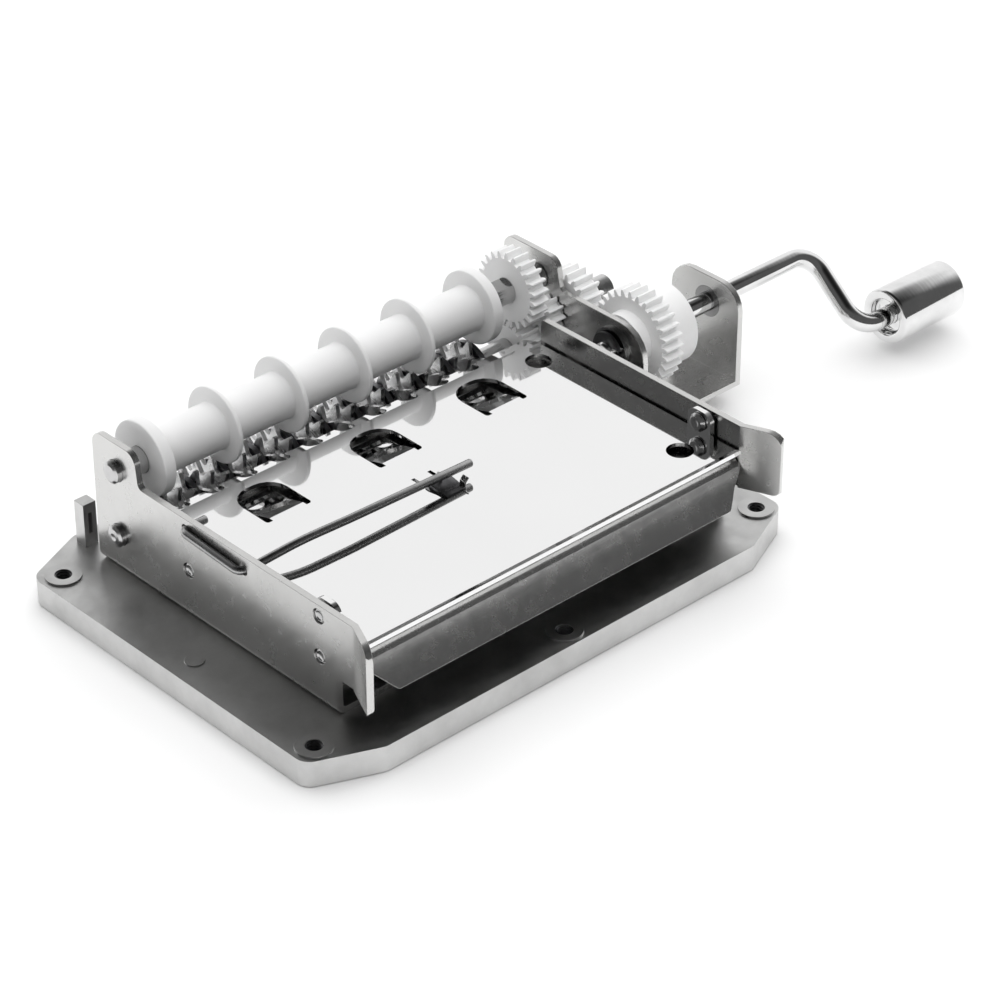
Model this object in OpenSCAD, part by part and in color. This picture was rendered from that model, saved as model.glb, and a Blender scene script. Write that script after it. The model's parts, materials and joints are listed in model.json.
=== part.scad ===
// Hand-cranked music movement that plays a punched paper strip, 30 notes.
// X runs across the strip towards the crank, Y runs along it from the entry to the rollers, Z is up.
// The origin is on the underside of the base plate, on the centre line of the strip's track.

/* [Base plate] */
// Width of the base plate
base_w = 90; // [86:1:100]
// Depth of the base plate, along the strip
base_d = 67.5; // [66:0.5:80]
// Thickness of the base plate
base_t = 4.1; // [3.5:0.1:6]
// Distance between the left and right mounting holes
hole_pitch_x = 83.3; // [80:0.1:84]
// Distance between the front and rear mounting holes
hole_pitch_y = 54; // [50:0.5:56]
// Distance between the two middle mounting holes
mid_pitch_y = 60.6; // [58:0.2:61]
// Radius of the tapped core of a mounting hole
tap_r = 1.25; // [1.2:0.05:1.5]

/* [Frame] */
// Clear width between the side plates
track_w = 71; // [70.6:0.1:72]
// Thickness of the frame's sheet metal
sheet_t = 1; // [0.8:0.1:1.2]
// Height of the side plates above the base plate
rail_h = 16.15; // [15.6:0.05:17]
// Height of the bearing ears above the base plate
ear_h = 21.3; // [20.8:0.1:22]
// Width of the flanges that lie on the base plate
flange_w = 10; // [8:0.5:12]

/* [Paper guides] */
// Height of the strip's bed above the base plate
bed_h = 10.8; // [10.6:0.05:11]
// Height of the pressing plate's top face above the base plate
press_h = 12.28; // [12.2:0.02:12.6]
// Thickness of the pressing plate
press_t = 0.6; // [0.5:0.05:0.7]

/* [Rollers and notes] */
// Number of groups of three notes
groups = 10; // [10:1:10]
// Distance between two notes
note_pitch = 2; // [1.9:0.05:2]
// Middle of the row of notes, from the track's centre line
row_x = -0.8; // [-1:0.1:0]
// Radius of the roller's flanges
roller_flange_r = 5.85; // [5.7:0.05:5.9]
// Radius of the roller's body
roller_body_r = 3.6; // [3:0.1:4]
// Radius of the feed discs
disc_r = 4.5; // [4.3:0.05:4.55]
// Radius of the star wheels over their points
star_r = 5.8; // [5.5:0.05:5.8]
// Points on a star wheel
star_points = 10; // [8:1:12]

/* [Gears] */
// Module of all the gears
gear_m = 0.5; // [0.5:0.01:0.5]
// Teeth of the gear on the crank
crank_teeth = 29; // [28:1:30]
// Teeth of the gear that the crank drives
outer_teeth = 21; // [20:1:22]
// Teeth of the pinion on the same shaft
pinion_teeth = 9; // [9:1:10]
// Teeth of the gear on the feed shaft
feed_teeth = 19; // [19:1:19]
// Teeth of the gear on the roller's axle
roller_teeth = 23; // [23:1:23]
// Play between meshing flanks
backlash = 0.14; // [0.1:0.01:0.2]

/* [Crank] */
// Distance from the crank's axis to the knob's axis
crank_throw = 14.5; // [12:0.5:18]
// Angle of the crank arm at rest, from the rear towards the top
crank_angle = 220; // [0:5:355]
// Radius of the crank rod
rod_r = 1.5; // [1.4:0.05:1.5]
// Radius of the knob
knob_r = 4.5; // [4:0.1:6]
// Length of the knob
knob_len = 14; // [12:0.5:20]

/* [Hidden] */
$fn = 64;
fit = 0.05;                       // radial running clearance of a shaft in its hole

// Base plate
base_x = -1.5;
base_chamfer = [10.4, 4.5];
base_corner_r = 2.5;
hole_mid_y = -0.4;
hole_mid_x = 0.4;
boss_r = 2.65;
boss_h = 0.3;
blind_depth = 3;                  // of the tapped holes that do not go through
mark_place = [-42.5, -1.75];      // round mark left by an ejector pin
mark_r = 1.4;
lug_y = 30.15;
lug_size = [2.2, 2.1, 7];
deck = base_t;
base_right = base_x + base_w / 2;

// Side plates: inner faces, and stations along the strip
inner_x = track_w / 2;
outer_x = inner_x + sheet_t;
rail_top = deck + rail_h;
plate_rear_y = 26.8;
ear_front_y = 17.45;
rail_rear_y = 12.85;
flange_front_y = -24.45;
flare_y = -27.85;
flare_len = 5.4;
flare_out = 2.4;
flare_bottom = deck + 5.9;
notch_top = deck + 6.2;
bend_r = 1.4;
relief_y = 15;                    // behind here the left flange is cut back for the star wheels
relief_x = 34;
frame_screw_r = 1.25;
frame_hole_r = 1.4;

// Axes of the train: feed shaft, roller, crank, and the shaft between them
feed_y = 21.8;
feed_z = deck + 6.3;
roller_z = feed_z + gear_m * (feed_teeth + roller_teeth) / 2;
crank_y = 5.75;
crank_z = deck + 11.3;
mid_axis = meeting_point(
    [crank_y, crank_z], gear_m * (crank_teeth + outer_teeth) / 2,
    [feed_y, feed_z], gear_m * (feed_teeth + pinion_teeth) / 2
);
axle_r = 2;
journal_r = 1.65;
axle_end_x = 0.8;
star_t = 0.7;
star_root_r = 3.9;
star_hub_r = 2.9;
star_twist = 11;                  // turn from one star wheel to the next at rest

// Gear frame beside the base plate
wall_x = base_right;
far_wall_x = 63.5;
wall_front_y = -0.75;
wall_rear_y = 29.45;
far_wall_rear_y = 13.35;
wall_ear_y = 18.05;
foot_z = deck - sheet_t;
gear_flange_x = 37.5;
journal_end_x = wall_x + sheet_t + 0.4;

// Hubs and flanges of the roller along X
left_hub_x = [-32.2, -30.3];
right_hub_x = [29.2, 31];
roller_flange_t = 0.7;

// Rivet and pivot stations on the side plates
pivot_y = -21.05;
pivot_z = deck + 14.35;
guide_rivet_z = deck + 7.9;
guide_rear_y = 6.4;
rivet_r = 1.12;
rivet_hole_r = 1.15;
rivet_head_r = 1.7;
rivet_sink = 0.3;                 // depth of a rivet's tip below the outer face

// Wire spring
wire_r = 0.6;
wire_hole_r = 0.7;
wire_a = [6.7, deck + 14.55];
wire_b = [-5.75, deck + 13.9];
wire_out_x = outer_x + wire_r + 0.05;
wire_path = [
    [-33, wire_a[0], wire_a[1]],
    [-wire_out_x, wire_a[0], wire_a[1]],
    [-wire_out_x, wire_b[0], wire_b[1]],
    [-34.4, wire_b[0], wire_b[1]],
    [-27.3, -6.5, deck + 14.9],
    [-18.4, -6.85, deck + 14.8],
    [3.5, -6.95, deck + 14.3]
];

// Bed and pressing plate
bed_t = 1;
bed_top = deck + bed_h;
bed_half = inner_x - 0.2;
bed_rear_y = 14.4;
apron_y = -30.85;
apron_z = deck + 5.2;
crease_y = -29.2;                 // fold across the apron
crease_z = deck + 7.5;
apron_half = 30.8;
press_top = deck + press_h;
press_half = inner_x - 0.4;
press_front_y = -28.4;
press_bend_y = 13.55;
press_rear_y = 15.95;
press_drop = 0.8;
tongue_x = [-21.3, -0.75, 19.55];
tongue_front_y = 3.65;
tongue_len = 8;
tongue_w = 8;
tongue_dip = 1.9;
tongue_t = 0.5;
window_y = [2.7, 7.8];            // opening of the bed under a tongue, from the tongue's root
saddle_x = [-3.6, 0];
saddle_y = [-9.25, -2.25];
saddle_cut = 0.6;                 // width of the cuts on both sides of the saddle
wire_y = -6.95;
slot_r = 1.3;
press_holes = [[31.5, 9.05], [29.25, -22.35]];
press_hole_r = 2;

// Comb
notes = 3 * groups;
first_note_x = row_x - note_pitch * (notes - 1) / 2;
last_note_x = row_x + note_pitch * (notes - 1) / 2;
comb_tip_y = 15.95;
comb_z = deck + 4.3;
comb_t = 1.6;
tooth_z = comb_z + 0.5;
tooth_t = 0.6;
tooth_w = 1.5;
comb_front_y = -9;
root_left_y = -3.5;
root_right_y = 3.5;
comb_edge = 1.2;                  // body beyond the outer notes' middles
anvil_len = 5.2;
comb_screw_x = [-24, -0.8, 22.4];
comb_screw_y = -6.3;
comb_screw_r = 1.5;
weighted = 14;                    // long teeth with a lead weight under the tip
damper_y = 9;
damper_t = 1.4;

// Crank
rod_bend_r = 4;
arm_x = 86;
hub_end_x = 55;
rod_inner_x = 41.5;
knob_x = arm_x + rod_bend_r + 1.9;
knob_bore_end = knob_len - 4.8;

// Gear faces along X
roller_gear_x = [36.9, 39.9];
feed_gear_x = [37, 43.2];
pinion_x = [40.3, 43.3];
outer_gear_x = [45.2, 49.1];
crank_gear_x = [47.2, 50.8];
crank_boss_x = 45.2;
crank_boss_r = 4.5;
crank_hub_r = 6.43;

// Grooves of the two snap rings along X, and their depth
ring_x = [49.6, 50.1];
clip_x = [42.1, 42.6];
ring_depth = 0.4;
clip_depth = 0.3;

// Bushes of the crank
bush_r = 2.5;
bush_flange_r = 3.3;
bush_flange_t = 0.6;

// Recess and cap of the knob
recess_r = 2.9;
recess_len = 1.4;
cap_r = 3.2;
cap_len = 1.6;

// Rest angles of the gears, so that every pair is in mesh
crank_turn = 0;
outer_turn = meshed(crank_turn, crank_teeth, outer_teeth, direction([crank_y, crank_z], mid_axis));
pinion_turn = outer_turn;
feed_turn = meshed(pinion_turn, pinion_teeth, feed_teeth, direction(mid_axis, [feed_y, feed_z]));
roller_turn = meshed(feed_turn, feed_teeth, roller_teeth, 90);

// Upper meeting point of two circles, a round p and b round q, in the YZ plane
function meeting_point(p, a, q, b) =
    let (
        d = norm(q - p),
        e = (q - p) / d,
        t = (a * a - b * b + d * d) / (2 * d),
        h = sqrt(a * a - t * t)
    )
    p + t * e + h * [-e[1], e[0]];

// Direction from one axis to another, in degrees from +Y towards +Z
function direction(p, q) = atan2(q[1] - p[1], q[0] - p[0]);

// Rest angle of a gear of teeth_b that meshes with one of teeth_a lying at turn_a
function meshed(turn_a, teeth_a, teeth_b, dir) =
    dir + 180 - 180 / teeth_b + (dir - turn_a) * teeth_a / teeth_b;

// Polar angle of an involute at radius r
function involute(base_r, r) = sqrt(pow(r / base_r, 2) - 1) * 180 / PI - acos(base_r / r);

// Outline of a spur gear: involute flanks, with radial roots below the base circle
function gear_outline(teeth, pressure = 20, addendum = 0.9, dedendum = 1.25, steps = 4) =
    let (
        pitch_r = gear_m * teeth / 2,
        base_r = pitch_r * cos(pressure),
        tip_r = pitch_r + addendum * gear_m,
        root_r = pitch_r - dedendum * gear_m,
        start_r = max(base_r, root_r),
        half = 90 / teeth - backlash / 2 / pitch_r * 180 / PI + involute(base_r, pitch_r),
        radii = [for (i = [0 : steps]) start_r + (tip_r - start_r) * i / steps],
        flank = concat([[root_r, half]], [for (r = radii) [r, half - involute(base_r, r)]])
    )
    [
        for (t = [0 : teeth - 1])
        let (a = 360 * t / teeth)
        each concat(
            [for (f = flank) f[0] * [cos(a - f[1]), sin(a - f[1])]],
            [for (i = [len(flank) - 1 : -1 : 0]) flank[i][0] * [cos(a + flank[i][1]), sin(a + flank[i][1])]]
        )
    ];

// Points of one rounded corner: p is the corner, r its radius, a and b are its neighbours
function corner(a, p, b, r, steps = 5) =
    let (
        u = (a - p) / norm(a - p),
        v = (b - p) / norm(b - p),
        half = acos(max(-1, min(1, u * v))) / 2,
        centre = p + (u + v) / norm(u + v) * r / sin(half),
        from = p + u * r / tan(half) - centre,
        to = p + v * r / tan(half) - centre,
        side = sign(from[0] * to[1] - from[1] * to[0]),
        start = atan2(from[1], from[0])
    )
    [for (i = [0 : steps]) centre + r * [
        cos(start + side * (180 - 2 * half) * i / steps),
        sin(start + side * (180 - 2 * half) * i / steps)
    ]];

// Outline through corners given as [x, y, radius]
function rounded(c) =
    let (n = len(c))
    [
        for (i = [0 : n - 1])
        let (p = [c[i][0], c[i][1]], a = c[(i + n - 1) % n], b = c[(i + 1) % n])
        each c[i][2] == 0 ? [p] : corner([a[0], a[1]], p, [b[0], b[1]], c[i][2])
    ];

// A sheet that stands across X: its outline is in Y and Z
module sheet_x(x, thickness, outline) {
    translate([x, 0, 0])
        rotate([90, 0, 90])
            linear_extrude(thickness)
                polygon(outline);
}

// A sheet that stands across Y: its outline is in X and Z
module sheet_y(y, thickness, outline) {
    translate([0, y + thickness, 0])
        rotate([90, 0, 0])
            linear_extrude(thickness)
                polygon(outline);
}

// A round bar along X
module bar(x, end, y, z, r) {
    translate([x, y, z])
        rotate([0, 90, 0])
            cylinder(h = end - x, r = r);
}

// A gear along X between two faces, at an axis and a rest angle
module gear(face, y, z, teeth, turn) {
    translate([face[0], y, z])
        rotate([turn, 0, 0])
            rotate([90, 0, 90])
                linear_extrude(face[1] - face[0])
                    polygon(gear_outline(teeth));
}

// A screw pointing down: head on top of z, shank below it
module screw(x, y, z, head_r, head_h, shank_r, shank_len) {
    difference() {
        union() {
            translate([x, y, z - shank_len])
                cylinder(h = shank_len + head_h, r = shank_r);
            translate([x, y, z])
                cylinder(h = head_h, r = head_r);
        }
        translate([x - head_r, y - 0.3, z + head_h / 2])
            cube([2 * head_r, 0.6, head_h]);
    }
}

// Outline of the base plate with its chamfered corners
function base_outline() =
    let (
        left = base_x - base_w / 2,
        right = base_x + base_w / 2,
        front = -base_d / 2,
        rear = base_d / 2,
        cx = base_chamfer[0],
        cy = base_chamfer[1],
        r = base_corner_r
    )
    rounded([
        [left + cx, front, r], [right - cx, front, r],
        [right, front + cy, r], [right, rear - cy, r],
        [right - cx, rear, r], [left + cx, rear, r],
        [left, rear - cy, r], [left, front + cy, r]
    ]);

// Centres of the six mounting holes
mount_holes = concat(
    [for (x = [-1, 1], y = [-1, 1]) [base_x + x * hole_pitch_x / 2, hole_mid_y + y * hole_pitch_y / 2]],
    [for (y = [-1, 1]) [base_x + hole_mid_x, hole_mid_y + y * mid_pitch_y / 2]]
);

// Screws that hold the three frame sheets down
frame_screw_places = [
    [-30, -18], [-30, 4], [30, -18], [30, 4], [40.4, 2.2], [40.4, 10]
];

module base_plate() {
    color([0.62, 0.62, 0.61])
    difference() {
        union() {
            linear_extrude(base_t)
                polygon(base_outline());
            for (h = mount_holes)
                translate([h[0], h[1], 0])
                    cylinder(h = base_t + boss_h, r = boss_r);
            translate([mark_place[0], mark_place[1], 0])
                cylinder(h = base_t + boss_h / 2, r = mark_r);
            translate([-outer_x, lug_y, 0])
                cube([lug_size[0], lug_size[1], base_t + lug_size[2]]);
        }
        for (h = mount_holes)
            translate([h[0], h[1], -1])
                cylinder(h = base_t + 3, r = tap_r);
        for (s = frame_screw_places)
            translate([s[0], s[1], base_t - blind_depth])
                cylinder(h = blind_depth + 1, r = frame_screw_r);
        for (x = comb_screw_x)
            translate([x, comb_screw_y, base_t - blind_depth])
                cylinder(h = blind_depth + 1, r = comb_screw_r);
        translate([-outer_x + 0.8, lug_y - 1, base_t + 2])
            cube([0.6, lug_size[1], 3.4]);
    }
}

// L-shaped cross-section of the left side plate: wall and flange, in X and Z
function left_section() =
    rounded([
        [-outer_x, deck, bend_r], [-outer_x + flange_w, deck, 0],
        [-outer_x + flange_w, deck + sheet_t, 0], [-inner_x, deck + sheet_t, bend_r - sheet_t],
        [-inner_x, deck + ear_h + 1, 0], [-outer_x, deck + ear_h + 1, 0]
    ]);

// Side outline of the left plate, in Y and Z
function left_outline() =
    rounded([
        [flare_y, notch_top, 0], [flange_front_y, notch_top, 0],
        [flange_front_y, deck - 1, 0], [plate_rear_y, deck - 1, 2.2],
        [plate_rear_y, deck + ear_h, 2], [ear_front_y, deck + ear_h, 2],
        [ear_front_y - 0.6, rail_top, 1], [flare_y, rail_top, 0]
    ]);

// Side outline of the right rail, in Y and Z
function right_outline() =
    rounded([
        [flare_y, notch_top, 0], [flange_front_y, notch_top, 0],
        [flange_front_y, deck - 1, 0], [rail_rear_y, deck - 1, 0],
        [rail_rear_y, rail_top, 0.6], [flare_y, rail_top, 0]
    ]);

// Entry flare of the left plate: it turns outwards in front of the wall
module left_flare() {
    intersection() {
        translate([0, 0, flare_bottom])
            linear_extrude(rail_top - flare_bottom)
                polygon([
                    [-inner_x, flare_y], [-outer_x, flare_y],
                    [-outer_x - flare_out, flare_y - flare_len],
                    [-inner_x - flare_out - 0.08, flare_y - flare_len - 0.4]
                ]);
        sheet_x(-outer_x - 6, 10, rounded([
            [flare_y, flare_bottom, 0], [flare_y, rail_top, 0],
            [flare_y - flare_len - 0.4, rail_top, 2.4], [flare_y - flare_len - 0.4, flare_bottom, 1]
        ]));
    }
}

// Rivet holes that both side plates share
module side_rivet_holes() {
    bar(-outer_x - 1, outer_x + 1, pivot_y, pivot_z, rivet_hole_r);
    bar(-outer_x - 1, outer_x + 1, pivot_y, guide_rivet_z, rivet_hole_r);
    bar(-outer_x - 1, outer_x + 1, guide_rear_y, guide_rivet_z, rivet_hole_r);
}

module left_side_plate() {
    color([0.78, 0.78, 0.77])
    difference() {
        union() {
            intersection() {
                sheet_y(flare_y, plate_rear_y - flare_y, left_section());
                sheet_x(-outer_x - 1, flange_w + 2, left_outline());
            }
            left_flare();
        }
        side_rivet_holes();
        bar(-outer_x - 1, -inner_x + 1, feed_y, feed_z, journal_r + fit);
        bar(-outer_x - 1, -inner_x + 1, feed_y, roller_z, journal_r + fit);
        bar(-outer_x - 1, -inner_x + 1, wire_a[0], wire_a[1], wire_hole_r);
        bar(-outer_x - 1, -inner_x + 1, wire_b[0], wire_b[1], wire_hole_r);
        for (s = [frame_screw_places[0], frame_screw_places[1]])
            translate([s[0], s[1], deck - 1])
                cylinder(h = 3, r = frame_hole_r);
        translate([-relief_x, relief_y, deck - 1])
            cube([flange_w, plate_rear_y - relief_y + 1, 3]);
    }
}

module right_rail() {
    color([0.74, 0.74, 0.73])
    difference() {
        mirror([1, 0, 0])
            union() {
                intersection() {
                    sheet_y(flare_y, rail_rear_y - flare_y, left_section());
                    sheet_x(-outer_x - 1, flange_w + 2, right_outline());
                }
                left_flare();
            }
        side_rivet_holes();
        for (s = [frame_screw_places[2], frame_screw_places[3]])
            translate([s[0], s[1], deck - 1])
                cylinder(h = 3, r = frame_hole_r);
    }
}

module gear_frame() {
    color([0.72, 0.72, 0.71])
    difference() {
        union() {
            sheet_x(wall_x, sheet_t, rounded([
                [wall_front_y, foot_z, 0], [far_wall_rear_y, foot_z, 0],
                [far_wall_rear_y + 3, deck + 1, 2], [wall_rear_y, deck + 1, 3],
                [wall_rear_y, deck + ear_h - 0.3, 2], [wall_ear_y, deck + ear_h - 0.3, 2],
                [wall_ear_y - 1, rail_top - 0.15, 1], [wall_front_y, rail_top - 0.15, 5]
            ]));
            sheet_x(far_wall_x, sheet_t, rounded([
                [wall_front_y, foot_z, 0], [far_wall_rear_y, foot_z, 0],
                [far_wall_rear_y, rail_top - 0.45, 4], [wall_front_y, rail_top - 0.45, 4]
            ]));
            translate([wall_x, wall_front_y, foot_z])
                cube([far_wall_x - wall_x, far_wall_rear_y - wall_front_y, sheet_t]);
            translate([gear_flange_x, wall_front_y + 0.5, deck])
                cube([wall_x - gear_flange_x, 12.5, sheet_t]);
        }
        bar(wall_x - 1, wall_x + 2, feed_y, feed_z, journal_r + fit);
        bar(wall_x - 1, wall_x + 2, feed_y, roller_z, journal_r + fit);
        bar(wall_x - 1, wall_x + 2, mid_axis[0], mid_axis[1], axle_r + fit);
        bar(wall_x - 1, wall_x + 2, crank_y, crank_z, bush_r);
        bar(far_wall_x - 1, far_wall_x + 2, crank_y, crank_z, bush_r);
        for (s = [frame_screw_places[4], frame_screw_places[5]])
            translate([s[0], s[1], deck - 1])
                cylinder(h = 3, r = frame_hole_r);
    }
}

module frame_screws() {
    color([0.7, 0.7, 0.7])
    for (s = frame_screw_places)
        screw(s[0], s[1], deck + sheet_t, 2.2, 1.3, frame_screw_r, sheet_t + blind_depth);
}

module lower_guide() {
    color([0.7, 0.7, 0.7])
    difference() {
        union() {
            intersection() {
                sheet_x(-bed_half, 2 * bed_half, [
                    [bed_rear_y, bed_top], [flare_y + 0.9, bed_top], [flare_y + 0.1, bed_top - 0.3],
                    [flare_y - 0.35, bed_top - 0.95], [crease_y, crease_z], [apron_y, apron_z],
                    [apron_y + 0.85, apron_z - 0.45], [crease_y + 0.95, crease_z - 0.2],
                    [flare_y + 0.55, bed_top - bed_t - 0.3], [flare_y + 1.1, bed_top - bed_t],
                    [bed_rear_y, bed_top - bed_t]
                ]);
                sheet_y(apron_y - 1, bed_rear_y - apron_y + 2, rounded([
                    [-bed_half, bed_top + 1, 0], [-bed_half, bed_top - 1.5, 1],
                    [-apron_half, apron_z - 0.45, 3], [apron_half, apron_z - 0.45, 3],
                    [bed_half, bed_top - 1.5, 1], [bed_half, bed_top + 1, 0]
                ]));
            }
            for (side = [-1, 1], y = [pivot_y, guide_rear_y])
                translate([side * (inner_x - sheet_t / 2) - sheet_t / 2, y - 2.5, guide_rivet_z - 2])
                    cube([sheet_t, 5, bed_top - bed_t - guide_rivet_z + 2.5]);
        }
        side_rivet_holes();
        for (x = tongue_x)
            translate([x - 3.4, tongue_front_y + window_y[0], bed_top - 2])
                cube([6.8, window_y[1] - window_y[0], 3]);
    }
}

module guide_rivets() {
    color([0.75, 0.75, 0.75])
    for (side = [0, 1], y = [pivot_y, guide_rear_y])
        mirror([side, 0, 0]) {
            bar(-outer_x + rivet_sink, -inner_x + sheet_t, y, guide_rivet_z, rivet_r);
            bar(-inner_x + sheet_t, -inner_x + sheet_t + 0.6, y, guide_rivet_z, rivet_head_r);
        }
}

// Cross-section of the pressing plate along the strip, in Y and Z
function press_section() =
    let (top = press_top, low = press_top - press_t)
    [
        [press_front_y - 0.1, top + 0.35], [press_front_y + 0.9, top], [press_bend_y, top],
        [press_rear_y, top - press_drop], [press_rear_y - 0.2, low - press_drop],
        [press_bend_y - 0.12, low], [press_front_y + 0.95, low], [press_front_y - 0.25, low + 0.4]
    ];

// Opening round one spring tongue, seen from above, with relief cuts beside its root
module tongue_opening(x) {
    translate([x, tongue_front_y, press_top - 2])
        linear_extrude(4)
            difference() {
                polygon(rounded([
                    [-tongue_w / 2, -0.8, 0.45], [tongue_w / 2, -0.8, 0.45],
                    [tongue_w / 2, tongue_len, 3.4], [-tongue_w / 2, tongue_len, 3.4]
                ]));
                translate([-tongue_w / 2 + 1, -2])
                    square([tongue_w - 2, 2]);
            }
}

// Spring tongue that dips towards the bed from its root at the front
module tongue(x) {
    sheet_x(x - tongue_w / 2 + 1, tongue_w - 2, [
        [tongue_front_y - 0.1, press_top], [tongue_front_y + 6.4, press_top - tongue_dip],
        [tongue_front_y + 6.35, press_top - tongue_dip - tongue_t], [tongue_front_y - 0.1, press_top - tongue_t]
    ]);
}

// Saddle under the wire: a raised bridge with an ear on each side of the wire
module saddle() {
    low = press_top - 0.3;
    left = saddle_x[0] + saddle_cut;
    width = saddle_x[1] - saddle_x[0] - 2 * saddle_cut;
    for (side = [-1, 1])
        translate([left, wire_y + side * 1.35 - 0.25, low])
            cube([width, 0.5, 2.2]);
    translate([left, wire_y - 1.4, low])
        cube([width, 2.8, 0.9]);
}

module top_plate() {
    color([0.88, 0.88, 0.88])
    difference() {
        union() {
            difference() {
                sheet_x(-press_half, 2 * press_half, press_section());
                for (i = [0 : groups - 1])
                    translate([first_note_x - note_pitch / 2 + 3 * note_pitch * i, press_bend_y, press_top - 3])
                        linear_extrude(6) {
                            translate([0, slot_r])
                                circle(r = slot_r);
                            translate([-slot_r, slot_r])
                                square([2 * slot_r, 5]);
                        }
                for (x = tongue_x)
                    tongue_opening(x);
                for (x = [saddle_x[0], saddle_x[1] - saddle_cut])
                    translate([x, saddle_y[0], press_top - 2])
                        cube([saddle_cut, saddle_y[1] - saddle_y[0], 4]);
                for (h = press_holes)
                    translate([h[0], h[1], press_top - 2])
                        cylinder(h = 4, r = press_hole_r);
            }
            for (x = tongue_x)
                tongue(x);
            saddle();
            for (side = [0, 1])
                mirror([side, 0, 0])
                    sheet_x(-press_half, 0.8, rounded([
                        [pivot_y - 2.25, press_top - 0.3, 0], [pivot_y + 2.25, press_top - 0.3, 0],
                        [pivot_y + 2.25, pivot_z + 1.8, 1.5], [pivot_y - 2.25, pivot_z + 1.8, 1.5]
                    ]));
        }
        bar(-press_half - 1, press_half + 1, pivot_y, pivot_z, rivet_r + fit);
    }
}

module pivot_rivets() {
    color([0.75, 0.75, 0.75])
    for (side = [0, 1])
        mirror([side, 0, 0]) {
            bar(-outer_x + rivet_sink, -press_half + 0.9, pivot_y, pivot_z, rivet_r);
            bar(-press_half + 0.9, -press_half + 1.6, pivot_y, pivot_z, rivet_head_r);
        }
}

// Points of a bend of radius r at p, between its neighbours a and b in space
function bend(a, p, b, r, steps = 4) =
    let (
        u = (a - p) / norm(a - p),
        v = (b - p) / norm(b - p),
        half = acos(max(-1, min(1, u * v))) / 2,
        centre = p + (u + v) / norm(u + v) * r / sin(half),
        from = p + u * r / tan(half) - centre,
        to = p + v * r / tan(half) - centre,
        e1 = from / norm(from),
        rest = to - (to * e1) * e1,
        e2 = rest / norm(rest)
    )
    [for (i = [0 : steps])
        let (t = (180 - 2 * half) * i / steps)
        centre + r * (cos(t) * e1 + sin(t) * e2)];

// The wire's centre line, with tight bends at the plate and easy ones along the free leg
function wire_line() =
    let (n = len(wire_path))
    concat(
        [wire_path[0]],
        [for (i = [1 : n - 2])
            each bend(wire_path[i - 1], wire_path[i], wire_path[i + 1], i < 3 ? 1.3 : 8, i < 3 ? 4 : 2)],
        [wire_path[n - 1]]
    );

// Ring of points round a line that heads along t and is never upright
function wire_ring(p, t, sides) =
    let (
        n = cross([0, 0, 1], t) / norm(cross([0, 0, 1], t)),
        m = cross(t, n)
    )
    [for (k = [0 : sides - 1]) p + wire_r * (cos(360 * k / sides) * n + sin(360 * k / sides) * m)];

module wire_spring() {
    sides = 12;
    line = wire_line();
    last = len(line) - 1;
    heading = [for (i = [0 : last])
        let (d = line[min(i + 1, last)] - line[max(i - 1, 0)])
        d / norm(d)];
    color([0.6, 0.6, 0.6])
    polyhedron(
        points = [for (i = [0 : last]) each wire_ring(line[i], heading[i], sides)],
        faces = concat(
            [[for (k = [0 : sides - 1]) k]],
            [for (i = [0 : last - 1], k = [0 : sides - 1])
                let (a = i * sides + k, b = i * sides + (k + 1) % sides)
                [a, a + sides, b + sides]],
            [for (i = [0 : last - 1], k = [0 : sides - 1])
                let (a = i * sides + k, b = i * sides + (k + 1) % sides)
                [a, b + sides, b]],
            [[for (k = [sides - 1 : -1 : 0]) last * sides + k]]
        )
    );
}

module comb() {
    color([0.55, 0.56, 0.58])
    difference() {
        union() {
            translate([0, 0, comb_z])
                linear_extrude(comb_t)
                    polygon([
                        [first_note_x - comb_edge, comb_front_y],
                        [last_note_x + comb_edge, comb_front_y],
                        [last_note_x + comb_edge, root_right_y],
                        [first_note_x - comb_edge, root_left_y]
                    ]);
            for (i = [0 : notes - 1])
                translate([first_note_x + note_pitch * i - tooth_w / 2, root_left_y - 2, tooth_z])
                    cube([tooth_w, comb_tip_y - root_left_y + 2, tooth_t]);
        }
        for (x = comb_screw_x)
            translate([x, comb_screw_y, comb_z - 1])
                cylinder(h = comb_t + 2, r = comb_screw_r + 0.1);
    }
}

module comb_weights() {
    color([0.45, 0.45, 0.47])
    for (i = [0 : weighted - 1])
        let (len = 0.8 + (weighted - i) * 0.25, drop = 0.6 + (weighted - i) * 0.08)
            translate([first_note_x + note_pitch * i - tooth_w / 2, comb_tip_y - 0.8 - len, tooth_z - drop])
                cube([tooth_w, len, drop]);
}

module comb_anvil() {
    flange_end = outer_x - flange_w - 0.2;
    color([0.5, 0.5, 0.5])
    difference() {
        translate([first_note_x - comb_edge, comb_front_y, deck])
            cube([last_note_x - first_note_x + 2 * comb_edge, anvil_len, comb_z - deck]);
        for (x = comb_screw_x)
            translate([x, comb_screw_y, deck - 1])
                cylinder(h = comb_z - deck + 2, r = comb_screw_r + 0.1);
        for (side = [0, 1])
            mirror([side, 0, 0])
                translate([flange_end, comb_front_y - 1, deck - 1])
                    cube([flange_w, anvil_len + 2, sheet_t + 1]);
    }
}

module comb_screws() {
    color([0.7, 0.7, 0.7])
    for (x = comb_screw_x)
        screw(x, comb_screw_y, comb_z + comb_t, 2.6, 1.5, comb_screw_r, comb_z + comb_t - deck + blind_depth);
}

module damper_bar() {
    color([0.92, 0.92, 0.9])
    union() {
        translate([first_note_x - 1, damper_y, deck + sheet_t])
            cube([last_note_x - first_note_x + 2, 2, damper_t]);
        for (i = [0 : notes - 1])
            translate([first_note_x + note_pitch * i - 0.4, damper_y + 0.6, deck + damper_t])
                cube([0.8, 0.5, tooth_z - deck - 2 * damper_t]);
    }
}

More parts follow.
